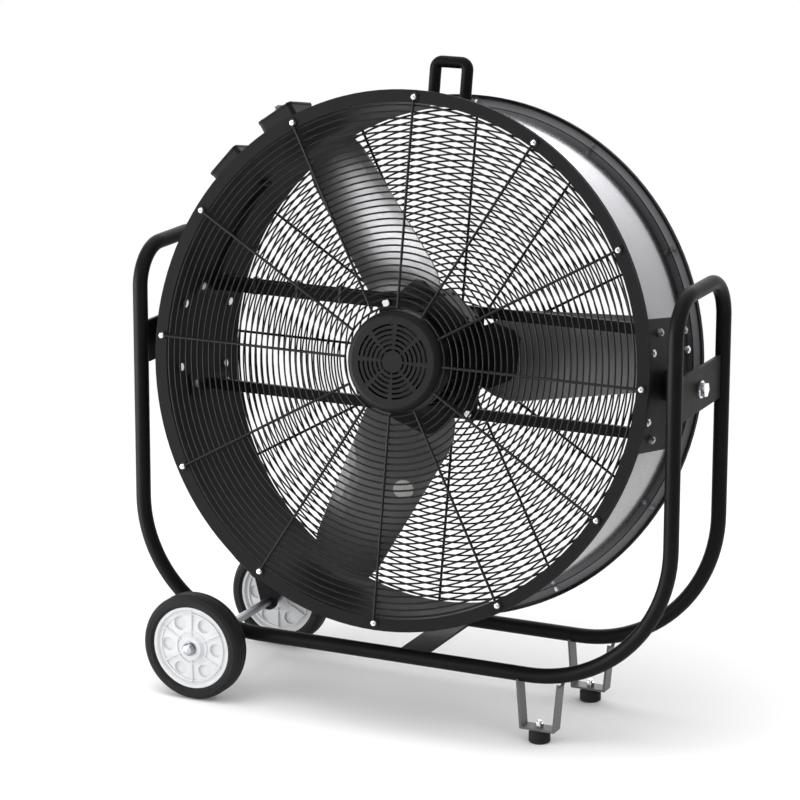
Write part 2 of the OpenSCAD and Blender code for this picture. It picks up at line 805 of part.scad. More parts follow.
// Finned housing, with a flat for the terminal box
module motor_body() {
    fins = 28;
    core = motor_d / 2 - 9;
    length = body_front - body_back;
    color("#2b2c2f") in_drum() translate([0, 0, body_back]) difference() {
        union() {
            cylinder(h = length, r = core);
            translate([0, 0, length - cowl_seat])
                cylinder(h = cowl_seat, r = cowl_d / 2 - cowl_t - seat_gap);
            for (i = [0:fins - 1]) rotate([0, 0, (i + 0.5) * 360 / fins])
                translate([core - 2, -1.5, 4]) cube([11, 3, length - cowl_seat - 2]);
            rotate([0, 0, term_angle]) translate([core - 10, -term_w / 2 + 8, term_mid - body_back - term_len / 2 + 6])
                cube([box_foot - core + 10, term_w - 16, term_len - 12]);
        }
        translate([0, 0, -1]) cylinder(h = length + 2, r = shaft_d / 2 + run_play);
        rotate([0, 0, term_angle]) translate([box_foot, -term_w / 2 - 4, -1])
            cube([20, term_w + 8, length + 2]);
    }
}

// Sheet cowl over the cooling fan, with rings of slots in its end
module motor_cowl() {
    r = cowl_d / 2;
    c = cowl_round;
    color("#1f2023") in_drum() translate([0, 0, cowl_front - cowl_len]) difference() {
        rotate_extrude($fn = 120) difference() {
            union() {
                square([r, cowl_len - c]);
                square([r - c, cowl_len]);
                translate([r - c, cowl_len - c]) circle(r = c);
            }
            union() {
                translate([-1, -1]) square([r - cowl_t + 1, cowl_len - c + 1]);
                translate([-1, -1]) square([r - c + 1, cowl_len - cowl_t + 1]);
                translate([r - c, cowl_len - c]) circle(r = c - cowl_t);
            }
        }
        for (k = [0:vent_rows - 1], i = [0:7]) rotate([0, 0, i * 45 + 4])
            rotate_extrude(angle = 37, $fn = 120)
            translate([20 + k * vent_pitch, cowl_len - cowl_t - 1]) square([vent_w, cowl_t + 2]);
    }
}

module at_terminal() {
    in_drum() round_drum(term_angle, term_mid) children();
}

module terminal_box() {
    color("#26272a") at_terminal() difference() {
        wall_box(term_w, term_len, box_foot, box_foot + term_h, 6);
        wall_box(term_w - 8, term_len - 8, box_foot + 6, box_foot + term_h + 1, 4);
    }
}

module terminal_lid() {
    top = box_foot + term_h;
    color("#2b2c2f") at_terminal() {
        wall_box(term_w + 2, term_len + 2, top, top + lid_t, 7);
        for (sy = [-1, 1], sz = [-1, 1])
            translate([0, sy * (term_w / 2 - 9), sz * (term_len / 2 - 9)])
            radial_pin(top + lid_t, top + lid_t + 2, 3.5);
    }
}

// Lead from the terminal box, along the upper bar and up the wall
module motor_lead() {
    r = lead_d / 2;
    elbow = r + 0.3;
    start_n = term_mid - term_len / 2;
    start_x = (box_foot + 0.7 * term_h - lead_y * sin(term_angle)) / cos(term_angle);
    end_x = lead_arc_r * cos(lead_turn);
    color("#131314") in_drum() {
        translate([start_x, lead_y, lead_n]) cylinder(h = start_n - lead_n, r = r);
        translate([start_x, lead_y, start_n - 10]) cylinder(h = 10, r = r + 4);
        translate([start_x, lead_y, lead_n]) sphere(r = elbow);
        translate([end_x, lead_y, lead_n]) radial_pin(0, start_x - end_x, r);
        translate([end_x, lead_y, lead_n]) sphere(r = elbow);
        rotate([0, 0, cap_angle]) translate([0, 0, lead_n])
            rotate_extrude(angle = lead_turn - cap_angle) translate([lead_arc_r, 0]) circle(r = r);
        round_drum(cap_angle, lead_n) {
            translate([lead_arc_r, 0, 0]) sphere(r = elbow);
            translate([lead_arc_r, 0, 0]) cylinder(h = lead_entry - lead_n, r = r);
        }
        round_drum(cap_angle, lead_entry) {
            translate([lead_arc_r, 0, 0]) sphere(r = elbow);
            radial_pin(lead_arc_r, wall_r + 8, r);
        }
    }
}

// Straps that hold the lead down on the upper bar
module lead_ties() {
    t = tie_t;
    color("#131314") in_drum() for (i = [1:tie_count])
        translate([-bar_foot_r + i * (bar_foot_r - plate_half) / (tie_count + 1),
            bar_z - bar_w / 2 - t, bar_front - bar_w - t]) difference() {
            cube([tie_w, bar_w + lead_d + 2 * t, bar_w + 2 * t]);
            translate([-1, t, t]) cube([tie_w + 2, bar_w + lead_d, bar_w]);
        }
}

module electric_box(angle, w, h, n_mid) {
    in_drum() round_drum(angle, n_mid) difference() {
        wall_box(w, box_len, wall_r - 6, wall_r + h, 8);
        translate([0, 0, -box_len]) cylinder(h = 2 * box_len, r = wall_r, $fn = 180);
        wall_box(w - 2 * box_wall, box_len - 2 * box_wall, wall_r + 6, wall_r + h + 1, 5);
        children();
    }
}

module electric_lid(angle, w, h) {
    from = wall_r + h;
    in_drum() round_drum(angle, box_front) {
        wall_box(w + 2, box_len + 2, from, from + lid_t, 9);
        for (sy = [-1, 1], sz = [-1, 1])
            translate([0, sy * (w / 2 - 8), sz * (box_len / 2 - 8)])
            radial_pin(from + lid_t, from + lid_t + 2, 3.5);
    }
}

box_wall = 5;
nipple_r = 10;
nipple_out = wall_r + 22;
nipple_len = 2 * nipple_out * sin((cap_angle - switch_angle) / 2)
    - (switch_w + cap_w) / 2 + 2 * box_wall + 6;

module switch_box() {
    color("#2a2b2e") electric_box(switch_angle, switch_w, switch_h, box_front)
        rotate([0, 0, cap_angle - switch_angle]) translate([0, 0, -box_front]) nipple_bore();
}

module capacitor_box() {
    color("#2a2b2e") electric_box(cap_angle, cap_w, cap_h, box_front) {
        translate([0, 0, -box_front]) nipple_bore();
        translate([gland_out, 0, -box_len])
            cylinder(h = box_len, r = gland_bore / 2 + 3 + hole_play);
        translate([0, 0, lead_entry - box_front])
            radial_pin(bore_r, wall_r + 8, lead_d / 2 + hole_play);
    }
}

// Short conduit between the two boxes, square to their middle line
module nipple_place() {
    mid = (switch_angle - cap_angle) / 2;
    rotate([0, 0, mid]) translate([nipple_out, 0, box_front]) rotate([90, 0, 0]) children();
}

module nipple_bore() {
    nipple_place() cylinder(h = nipple_len + 4, r = nipple_r + hole_play, center = true);
}

module box_nipple() {
    color("#8d9095") in_drum() rotate([0, 0, cap_angle]) nipple_place()
        difference() {
            cylinder(h = nipple_len, r = nipple_r, center = true);
            cylinder(h = nipple_len + 4, r = nipple_r - 3, center = true);
        }
}

module switch_lid() {
    color("#303134") electric_lid(switch_angle, switch_w, switch_h);
}

module capacitor_lid() {
    color("#303134") electric_lid(cap_angle, cap_w, cap_h);
}

// Gland for the supply cable, on the rear face of the capacitor box
module cable_gland() {
    face = box_front - box_len / 2;
    color("#161617") in_drum() round_drum(cap_angle, 0)
        translate([gland_out, 0, face]) difference() {
            union() {
                translate([0, 0, -4]) cylinder(h = 4, r = 12.5, $fn = 6);
                translate([0, 0, -14]) cylinder(h = 10, r = 10);
                translate([0, 0, -20]) cylinder(h = 6, r1 = 8, r2 = 10, $fn = 48);
                cylinder(h = 8, r = gland_bore / 2 + 3);
            }
            translate([0, 0, -25]) cylinder(h = 40, r = gland_bore / 2);
        }
}

module selector_knob() {
    color("#18191a") in_drum() round_drum(switch_angle, box_front) {
        radial_pin(knob_base, knob_base + 5, knob_d / 2);
        radial_pin(knob_base + 5, knob_base + knob_h - 4, knob_d / 2 - 4);
        translate([knob_base + 5, -4, -knob_d / 2 + 2]) cube([knob_h - 5, 8, knob_d - 4]);
    }
}

module motor_shaft() {
    from = rotor_plane - hub_half - 2;
    to = cowl_front - cowl_round;
    end_washer = 3;
    nut = 8;
    color("#a9acb0") in_drum() {
        translate([0, 0, from]) cylinder(h = to - from, r = shaft_d / 2);
        translate([0, 0, from - end_washer]) cylinder(h = end_washer, r = shaft_d / 2 + 8);
        translate([0, 0, from - end_washer - nut])
            cylinder(h = nut, r = (shaft_d - 5) / sqrt(3), $fn = 6);
        translate([0, 0, body_front + 6]) cooling_fan();
    }
}

// Small fan behind the cowl, on the rear end of the shaft
module cooling_fan() {
    disc_r = cowl_d / 2 - cowl_t - 17;
    depth = cowl_front - cowl_t - body_front - 16;
    vane_in = shaft_d / 2 + 6;
    cylinder(h = depth, r = vane_in + 2);
    cylinder(h = cool_t, r = disc_r);
    for (i = [0:cool_vanes - 1]) rotate([0, 0, i * 360 / cool_vanes])
        translate([vane_in, -cool_t / 2, 1]) cube([disc_r - vane_in, cool_t, depth - 4]);
}

arm_holes = [[104, -38], [104, 38], [134, -22], [134, 22]];

// Pressed hub plate with three pitched arms and a boss
module hub_plate() {
    color("#232427") in_drum() translate([0, 0, rotor_plane]) difference() {
        union() {
            translate([0, 0, -hub_half]) cylinder(h = 2 * hub_half, r = hub_r);
            translate([0, 0, -5]) cylinder(h = 10, r = 68);
            for (a = [0, 120, 240]) rotate([0, 0, rotor_turn + a]) rotate([-pitch_root, 0, 0])
                linear_extrude(arm_t) difference() {
                polygon([[20, -40], [94, -64], [arm_r - 12, -48], [arm_r, -34],
                    [arm_r, 34], [arm_r - 12, 48], [94, 64], [20, 40]]);
                for (p = arm_holes) translate(p) circle(r = 3.5, $fn = 32);
            }
        }
        translate([0, 0, -hub_half - 1]) cylinder(h = 2 * hub_half + 2, r = shaft_d / 2);
    }
}

// Half width of a blade at a radius: round root, straight taper, round tip
function blade_half(r) = r < flat_r
    ? blade_half_root - 26 * pow((flat_r - r) / (flat_r - root_r), 2)
    : (blade_half_root + (blade_half_tip - blade_half_root) * (r - flat_r) / (tip_r - flat_r))
        * (r > tip_r - 30 ? sqrt(1 - 0.22 * pow((r - tip_r + 30) / 30, 2)) : 1);

// Radius of a row of points, with one row where the flat root ends
function row_r(i) = i < root_rows
    ? root_r + (flat_r - root_r) * i / root_rows
    : flat_r + (tip_r - flat_r) * (i - root_rows) / (blade_rows - root_rows);

// Share of the way from the flat root to the tip
function blade_out(r) = max(0, (r - flat_r) / (tip_r - flat_r));

function blade_point(r, s, back) = let (
    out = blade_out(r),
    pitch = pitch_root + (pitch_tip - pitch_root) * out,
    w = s * blade_half(r),
    h = camber * (1 - s * s) * min(1, 3 * out) - back * blade_t,
    u = w * cos(pitch) + h * sin(pitch),
    n = h * cos(pitch) - w * sin(pitch))
    [sqrt(r * r - pow(u, 2) * out), u, n];

// Pressed blade as a closed skin over rows of points
module blade() {
    rows = blade_rows;
    cols = blade_cols;
    size = (rows + 1) * (cols + 1);
    points = [for (back = [0, 1], i = [0:rows], j = [0:cols])
        blade_point(row_r(i), 2 * j / cols - 1, back)];
    function at(back, i, j) = back * size + i * (cols + 1) + j;
    function quad(a, b, c, d) = [[a, b, c], [a, c, d]];
    faces = [for (i = [0:rows - 1], j = [0:cols - 1], f = concat(
            quad(at(0, i, j), at(0, i, j + 1), at(0, i + 1, j + 1), at(0, i + 1, j)),
            quad(at(1, i, j), at(1, i + 1, j), at(1, i + 1, j + 1), at(1, i, j + 1)))) f];
    ends = [for (j = [0:cols - 1], f = concat(
            quad(at(0, 0, j), at(1, 0, j), at(1, 0, j + 1), at(0, 0, j + 1)),
            quad(at(0, rows, j), at(0, rows, j + 1), at(1, rows, j + 1), at(1, rows, j)))) f];
    sides = [for (i = [0:rows - 1], f = concat(
            quad(at(0, i, 0), at(0, i + 1, 0), at(1, i + 1, 0), at(1, i, 0)),
            quad(at(0, i, cols), at(1, i, cols), at(1, i + 1, cols), at(0, i + 1, cols)))) f];
    polyhedron(points = points, faces = concat(faces, ends, sides));
}

module rotor_blades() {
    color("#3a3c40") in_drum() translate([0, 0, rotor_plane])
        for (a = [0, 120, 240]) rotate([0, 0, rotor_turn + a]) blade();
}

module blade_rivets() {
    color("#3a3c40") in_drum() translate([0, 0, rotor_plane])
        for (a = [0, 120, 240], p = arm_holes) rotate([0, 0, rotor_turn + a])
        rotate([-pitch_root, 0, 0]) translate([p[0], p[1], 0]) {
            cylinder(h = arm_t, r = 3.5, $fn = 32);
            translate([0, 0, arm_t]) cylinder(h = 2.5, r = 7, $fn = 32);
            translate([0, 0, -blade_t - 2.5]) cylinder(h = 2.5, r = 7, $fn = 32);
        }
}

front_cradle_tube();
rear_cradle_tube();
left_arch_tube();
right_arch_tube();
left_bracket();
right_bracket();
base_cross_plate();
axle_brackets();
wheel_axle();
axle_spacers();
axle_washers();
axle_caps();
front_foot_strap();
rear_foot_strap();
front_foot_rubber();
rear_foot_rubber();
foot_bolts();
front_tyre();
front_wheel_hub();
rear_tyre();
rear_wheel_hub();
drum_shell();
left_saddle_plate();
right_saddle_plate();
saddle_bolts();
pivot_bosses();
friction_discs();
pivot_bolts();
top_handle();
handle_bolts();
front_guard_spokes();
front_guard_rings();
rear_guard_spokes();
rear_guard_rings();
front_guard_screws();
rear_guard_screws();
upper_crossbar();
lower_crossbar();
crossbar_feet();
crossbar_bolts();
motor_plate();
motor_plate_bolts();
motor_flange();
motor_body();
motor_cowl();
terminal_box();
terminal_lid();
motor_lead();
lead_ties();
switch_box();
switch_lid();
capacitor_box();
capacitor_lid();
box_nipple();
cable_gland();
selector_knob();
motor_shaft();
hub_plate();
rotor_blades();
blade_rivets();
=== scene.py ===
import math
import random

import bmesh
import bpy
from mathutils import Matrix, Vector


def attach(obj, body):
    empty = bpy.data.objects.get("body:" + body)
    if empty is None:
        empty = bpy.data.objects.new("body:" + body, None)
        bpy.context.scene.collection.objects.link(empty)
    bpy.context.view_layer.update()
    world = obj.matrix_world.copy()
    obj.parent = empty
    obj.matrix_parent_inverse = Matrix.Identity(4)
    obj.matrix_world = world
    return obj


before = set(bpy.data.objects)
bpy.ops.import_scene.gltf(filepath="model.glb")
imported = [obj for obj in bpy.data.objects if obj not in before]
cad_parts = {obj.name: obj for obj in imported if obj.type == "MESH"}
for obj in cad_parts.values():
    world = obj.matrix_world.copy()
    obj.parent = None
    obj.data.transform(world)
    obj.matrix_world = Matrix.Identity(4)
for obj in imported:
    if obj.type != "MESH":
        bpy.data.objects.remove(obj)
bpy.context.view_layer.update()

# The photograph was taken from the right of the motor side, a little above
# the middle of the drum, with the camera rolled by a quarter of a degree.
camera_turn = math.radians(24.603)
camera_lift = math.radians(13.678)
camera_roll = math.radians(0.2483)
camera_reach = 6.0494
pivot = Vector((0, 0, 0.66))
photo_size = 800
focal_pixels = 3283.67
axis_pixel = (426.67, 358.38)
sensor_width = 36

back = Vector((math.sin(camera_turn) * math.cos(camera_lift),
               -math.cos(camera_turn) * math.cos(camera_lift),
               math.sin(camera_lift)))
level = Vector((math.cos(camera_turn), math.sin(camera_turn), 0))
rise = back.cross(level)
right = level * math.cos(camera_roll) + rise * math.sin(camera_roll)
up = rise * math.cos(camera_roll) - level * math.sin(camera_roll)
camera = bpy.data.objects.new("camera", bpy.data.cameras.new("camera"))
camera.data.sensor_width = sensor_width
camera.data.lens = focal_pixels / photo_size * sensor_width
camera.data.shift_x = (photo_size / 2 - axis_pixel[0]) / photo_size
camera.data.shift_y = (axis_pixel[1] - photo_size / 2) / photo_size
camera.matrix_world = Matrix.Translation(back * camera_reach + pivot) @ \
    Matrix((right, up, back)).transposed().to_4x4()
bpy.context.scene.collection.objects.link(camera)
bpy.context.scene.camera = camera
bpy.context.scene.view_settings.view_transform = "Standard"

# The drum's own frame: to the right, up the drum, and out of the motor side.
# Places on the drum are given in it, in metres from the middle of the drum.
drum_tilt = math.radians(10)
drum_right = Vector((1, 0, 0))
drum_up = Vector((0, math.sin(drum_tilt), math.cos(drum_tilt)))
drum_out = Vector((0, -math.cos(drum_tilt), math.sin(drum_tilt)))
in_drum = Matrix.Translation(pivot) @ \
    Matrix((drum_right, drum_up, drum_out)).transposed().to_4x4()


class Wire:
    """A socket inside a finish. Arithmetic on it adds Math nodes."""

    def __init__(self, finish, socket):
        self.finish = finish
        self.socket = socket

    def maths(self, operation, other=0.0):
        return self.finish.node("Math", {"operation": operation}, {0: self, 1: other})

    def __add__(self, other):
        return self.maths("ADD", other)

    def __radd__(self, other):
        return self.maths("ADD", other)

    def __sub__(self, other):
        return self.maths("SUBTRACT", other)

    def __rsub__(self, other):
        return self.finish.node("Math", {"operation": "SUBTRACT"}, {0: other, 1: self})

    def __mul__(self, other):
        return self.maths("MULTIPLY", other)

    def __truediv__(self, other):
        return self.maths("DIVIDE", other)

    def __gt__(self, other):
        return self.maths("GREATER_THAN", other)

    def __lt__(self, other):
        return self.maths("LESS_THAN", other)


class Finish:
    """A material whose shader is built from the nodes it is given."""

    def __init__(self, name, colour, roughness, metallic=0.0, specular=0.5, coat=0.0):
        self.material = bpy.data.materials.new(name)
        self.material.use_nodes = True
        self.tree = self.material.node_tree
        self.shader = self.tree.nodes["Principled BSDF"]
        self.shader.inputs["Base Color"].default_value = (*colour, 1)
        self.shader.inputs["Roughness"].default_value = roughness
        self.shader.inputs["Metallic"].default_value = metallic
        self.shader.inputs["Specular IOR Level"].default_value = specular
        self.shader.inputs["Coat Weight"].default_value = coat
        self.shader.inputs["Coat Roughness"].default_value = 0.12
        self.place = self.node("TexCoord", out="Object")

    def node(self, kind, settings=None, inputs=None, out=0):
        """Adds a node: its settings first, then the values or links of its sockets."""
        made = self.tree.nodes.new("ShaderNode" + kind)
        for key, value in (settings or {}).items():
            if key == "stops":
                ramp = made.color_ramp.elements
                while len(ramp) < len(value):
                    ramp.new(0.5)
                for stop, (at, grey) in zip(ramp, value):
                    stop.position = at
                    stop.color = (grey, grey, grey, 1)
            else:
                setattr(made, key, value)
        for key, value in (inputs or {}).items():
            self.put(made.inputs[key], value)
        return Wire(self, made.outputs[out])

    def put(self, socket, value):
        if isinstance(value, Wire):
            self.tree.links.new(value.socket, socket)
        elif isinstance(value, tuple) and len(value) == 3 and socket.type == "RGBA":
            socket.default_value = (*value, 1)
        else:
            socket.default_value = value

    def noise(self, scale, detail=4.0, roughness=0.55, place=None):
        return self.node("TexNoise", None, {"Vector": place or self.place, "Scale": scale,
                                            "Detail": detail, "Roughness": roughness})

    def ramp(self, amount, *stops):
        return self.node("ValToRGB", {"stops": stops}, {"Fac": amount})

    def tint(self, share, colour, other):
        return self.node("Mix", {"data_type": "RGBA"}, {0: share, 6: colour, 7: other}, out=2)

    def along(self, origin, axis):
        """Distance of the surface from a point, measured along an axis."""
        local = self.node("VectorMath", {"operation": "SUBTRACT"},
                          {0: self.place, 1: tuple(origin)})
        return self.node("VectorMath", {"operation": "DOT_PRODUCT"},
                         {0: local, 1: tuple(axis)}, out="Value")

    def round(self, x, y):
        """Radius and angle of a place in a plane."""
        return (x * x + y * y).maths("SQRT"), y.maths("ARCTAN2", x)

    def surface(self, colour=None, roughness=None, height=None, depth=0.0002, strength=0.5,
                metallic=None, coat=None):
        """Feeds the shader what changes over the surface."""
        for socket, value in (("Base Color", colour), ("Roughness", roughness),
                              ("Metallic", metallic), ("Coat Weight", coat)):
            if value is not None:
                self.put(self.shader.inputs[socket], value)
        if height is not None:
            bump = self.node("Bump", None, {"Height": height, "Distance": depth,
                                            "Strength": strength})
            self.put(self.shader.inputs["Normal"], bump)


# The cradle is two bent steel tubes with side arches, pivot brackets and axle
# hangers, welded and then coated with black powder. The coat has a fine
# orange peel, a little dust on top and dull rubbed places.
def powder_coat(name, black, roughness, dust=0.35, specular=0.25):
    coat = Finish(name, (black, black, black), roughness, specular=specular)
    cloud = coat.noise(9, 5)
    grain = coat.noise(1400, 2)
    facing_up = coat.node("SeparateXYZ", None,
                          {"Vector": coat.node("NewGeometry", out="Normal")}, out="Z")
    settled = coat.ramp(facing_up * coat.noise(38, 6), (0.34, 0), (0.9, dust))
    rubbed = coat.ramp(coat.noise(21, 8, 0.7), (0.55, 0), (0.78, 1))
    plain = coat.tint(cloud, (black * 0.82, black * 0.8, black * 0.8),
                      (black * 1.34, black * 1.3, black * 1.28))
    worn = coat.tint(rubbed * 0.3, plain, (black * 2.2, black * 2.15, black * 2.1))
    coat.surface(colour=coat.tint(settled * 0.08, worn, (0.2, 0.19, 0.175)),
                 roughness=roughness + cloud * 0.12 - 0.05 + rubbed * 0.1 + settled * 0.2,
                 height=grain + coat.noise(320, 2) * 0.8, depth=0.00012, strength=0.35)
    return coat


def dress(finish, *nodes):
    for name in nodes:
        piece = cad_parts[name]
        piece.data.materials.clear()
        piece.data.materials.append(finish.material)
        piece.data.polygons.foreach_set("material_index", [0] * len(piece.data.polygons))


cradle_coat = powder_coat("cradle_powder_coat", 0.0055, 0.48, specular=0.08)
dress(cradle_coat, "front_cradle_tube", "rear_cradle_tube", "left_arch_tube",
      "right_arch_tube", "left_bracket", "right_bracket", "base_cross_plate",
      "axle_brackets")


# Weld beads, laid by hand as overlapping ripples and coated with the cradle.
# They join the pivot brackets, the base plate and the axle hangers to the
# tubes.
def weld_bead(bm, points, radius, seed):
    """A rippled bead along a row of points, pointed at both ends."""
    hand = random.Random(seed)
    sides = 8
    ripple = radius * 0.55
    path = [Vector(p) for p in points]
    length = sum((b - a).length for a, b in zip(path, path[1:]))
    count = max(6, int(length / ripple))
    rings = []
    for step in range(count + 1):
        along = step / count * length
        for a, b in zip(path, path[1:]):
            leg = (b - a).length
            if along <= leg or b is path[-1]:
                middle = a.lerp(b, min(1, along / leg))
                heading = (b - a).normalized()
                break
            along -= leg
        out = heading.orthogonal().normalized()
        side = heading.cross(out)
        swell = radius * (1 + 0.16 * math.cos(step * math.pi) + hand.uniform(-0.06, 0.06))
        swell *= math.sqrt(max(0.05, 1 - abs(2 * step / count - 1) ** 12))
        rings.append([bm.verts.new(middle + swell * (out * math.cos(t) + side * math.sin(t)))
                      for t in [k * math.tau / sides for k in range(sides)]])
    for low, high in zip(rings, rings[1:]):
        for k in range(sides):
            bm.faces.new((low[k], low[(k + 1) % sides], high[(k + 1) % sides], high[k]))
    bm.faces.new(rings[0][::-1])
    bm.faces.new(rings[-1])


def keep(name, bm, finish, body, smooth=True, place=None):
    """Turns built faces into a piece that rides on a body of the CAD."""
    mesh = bpy.data.meshes.new(name)
    bmesh.ops.recalc_face_normals(bm, faces=bm.faces)
    if place is not None:
        bmesh.ops.transform(bm, matrix=place, verts=bm.verts)
    bm.to_mesh(mesh)
    bm.free()
    for face in mesh.polygons:
        face.use_smooth = smooth
    mesh.materials.append(finish.material)
    piece = bpy.data.objects.new(name, mesh)
    bpy.context.scene.collection.objects.link(piece)
    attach(piece, body)
    return piece


tube_radius = 0.014
tube_plane = 0.124
weld_y = tube_plane - tube_radius * 0.96
leg_x = 0.532
bracket_face = 0.0038
bracket_weld = 0.038
base_z = 0.124
base_face = 0.0033
base_ends = (-0.007, 0.047)
corner_weld = 0.0024
beads = bmesh.new()
seed = 0
for side in (-1, 1):
    for end in (-1, 1):
        for face in (-1, 1):
            seed += 1
            x = side * leg_x + face * bracket_face
            weld_bead(beads, [(x, end * weld_y, pivot.z - bracket_weld),
                              (x, end * weld_y, pivot.z + bracket_weld)], corner_weld, seed)
for end in (-1, 1):
    for face in (-1, 1):
        seed += 1
        weld_bead(beads, [(x, end * weld_y, base_z + face * base_face) for x in base_ends],
                  corner_weld, seed)
bend_centre = (-0.292, base_z + 0.24)
hanger_reach = 0.2537
hanger_face = 0.0042
hanger_weld = 0.0022
for end in (-1, 1):
    for face in (-1, 1):
        seed += 1
        y = end * tube_plane + face * hanger_face
        arc = [math.radians(a) for a in range(236, 254, 2)]
        weld_bead(beads, [(bend_centre[0] + hanger_reach * math.cos(a), y,
                           bend_centre[1] + hanger_reach * math.sin(a)) for a in arc],
                  hanger_weld, seed)
keep("cradle_weld_beads", beads, cradle_coat, "cradle")


# The foot straps are bent from flat steel, coated in dark grey, welded to the
# tubes, and each holds a turned rubber foot by one bolt.
strap_grey = powder_coat("foot_strap_grey", 0.085, 0.42, dust=0.2, specular=0.4)
dress(strap_grey, "front_foot_strap", "rear_foot_strap")
foot_x = 0.286
strap_half_low, strap_half_high = 0.034, 0.042
strap_low, strap_high = 0.024, 0.117
strap_slope = (strap_half_high - strap_half_low) / (strap_high - strap_low)
strap_weld = 0.0016
strap_weld_half = 0.0035
beads = bmesh.new()
for end in (-1, 1):
    for side in (-1, 1):
        for turn in (math.radians(24), math.radians(38)):
            seed += 1
            z = base_z - tube_radius * math.cos(turn)
            x = foot_x + side * (strap_half_low + strap_slope * (z - strap_low) + 0.0006)
            for out in (-1, 1):
                y = end * tube_plane + out * tube_radius * math.sin(turn)
                weld_bead(beads, [(x, y - strap_weld_half, z + 0.0003),
                                  (x, y + strap_weld_half, z + 0.0003)], strap_weld, seed)
keep("foot_strap_weld_beads", beads, strap_grey, "cradle")


# The feet, the friction discs and the lead's sheath are moulded in black
# rubber, with a fine grain and a paler bloom where it has aged.
def moulded_rubber(name, black, grain_scale):
    rubber = Finish(name, (black, black, black), 0.72, specular=0.2)
    cloud = rubber.noise(26, 6)
    fine = rubber.noise(grain_scale, 3)
    bloom = rubber.ramp(rubber.noise(60, 8, 0.7), (0.5, 0), (0.8, 1))
    rubber.surface(colour=rubber.tint(bloom * 0.3 + cloud * 0.2, (black, black, black * 1.05),
                                      (black * 2.6, black * 2.5, black * 2.4)),
                   roughness=0.62 + cloud * 0.2, height=fine, depth=0.0002, strength=0.4)
    return rubber


dress(moulded_rubber("foot_rubber_black", 0.009, 900), "front_foot_rubber",
      "rear_foot_rubber", "friction_discs")


# All bolts, washers, the axle and its caps are steel with bright zinc plate,
# faintly blue, with a fine machined grain and small dull stains.
def plated_steel(name, colour, roughness, grain=1.0):
    steel = Finish(name, colour, roughness, metallic=1.0)
    stain = steel.ramp(steel.noise(85, 7, 0.65), (0.45, 0), (0.75, 1))
    fine = steel.noise(1700, 2)
    dull = tuple(c * 0.72 for c in colour)
    steel.surface(colour=steel.tint(stain * 0.6, colour, dull),
                  roughness=roughness + stain * 0.15 + fine * 0.08 - 0.04,
                  height=fine, depth=0.00004, strength=0.3 * grain)
    return steel


bright_zinc = plated_steel("bright_zinc_plate", (0.78, 0.79, 0.82), 0.26)
dull_zinc = plated_steel("dull_zinc_plate", (0.4, 0.41, 0.43), 0.36)
dress(bright_zinc, "saddle_bolts", "pivot_bolts", "handle_bolts", "foot_bolts")
dress(dull_zinc, "wheel_axle", "axle_spacers", "axle_washers", "axle_caps",
      "motor_plate_bolts", "crossbar_bolts", "box_nipple")

# The pan heads of the guard screws have a cross recess, turned at random
# from screw to screw. The recess is only a bump, with painted shade inside it.
screw_circle = 0.477
screw_step = math.tau / 12
recess_half = (0.0024, 0.0005)
head_top = 0.1475
screw_zinc = (0.8, 0.81, 0.84)
screw_head = plated_steel("screw_zinc_plate", screw_zinc, 0.3)
across, upward, outward = [screw_head.along(pivot, a) for a in (drum_right, drum_up, drum_out)]
_, bearing = screw_head.round(across, upward)
centre = (bearing / screw_step + 0.5).maths("FLOOR") * screw_step
off_x = across - centre.maths("COSINE") * screw_circle
off_y = upward - centre.maths("SINE") * screw_circle
twist = centre * 7.3
size_x = (off_x * twist.maths("COSINE") - off_y * twist.maths("SINE")).maths("ABSOLUTE")
size_y = (off_x * twist.maths("SINE") + off_y * twist.maths("COSINE")).maths("ABSOLUTE")
bar_one = (size_x < recess_half[1]) * (size_y < recess_half[0])
bar_two = (size_y < recess_half[1]) * (size_x < recess_half[0])
recess = bar_one.maths("MAXIMUM", bar_two) * (outward.maths("ABSOLUTE") > head_top)
# Painted shade: the cross recess is coloured dark where shade would fall inside it.
screw_head.surface(colour=screw_head.tint(recess, screw_zinc, (0.05, 0.05, 0.055)),
                   height=recess * -1.0, depth=0.0012, strength=1.0)
dress(screw_head, "front_guard_screws", "rear_guard_screws")


# The tyres are solid black rubber with two tread grooves. Their tread is
# cut across by fine sipes, and the side walls have moulded bands.
axle_x = -0.395
wheel_radius = 0.1015
wheel_plane = 0.1775
hub_radius = 0.079
sipe_count = 60
band_waves = 2600
axle = Vector((axle_x, 0, wheel_radius))
tyre_black = Finish("tyre_black", (0.01, 0.01, 0.011), 0.7, specular=0.2)
reach, turn = tyre_black.round(tyre_black.along(axle, (1, 0, 0)),
                               tyre_black.along(axle, (0, 0, 1)))
sipe = (turn * sipe_count).maths("SINE") > 0.75
band = (reach * band_waves).maths("SINE") > 0.2
wear = tyre_black.noise(45, 7, 0.65)
on_tread = reach > wheel_radius - 0.004
on_wall = (reach > hub_radius + 0.004) * (reach < wheel_radius - 0.0085)
tyre_black.surface(colour=tyre_black.tint(wear * 0.4, (0.008, 0.008, 0.009),
                                          (0.028, 0.027, 0.026)),
                   roughness=0.6 + wear * 0.2,
                   height=on_wall * band * 0.5 - sipe * on_tread
                   + tyre_black.noise(1200, 2) * 0.15,
                   depth=0.001, strength=0.6)
dress(tyre_black, "front_tyre", "rear_tyre")


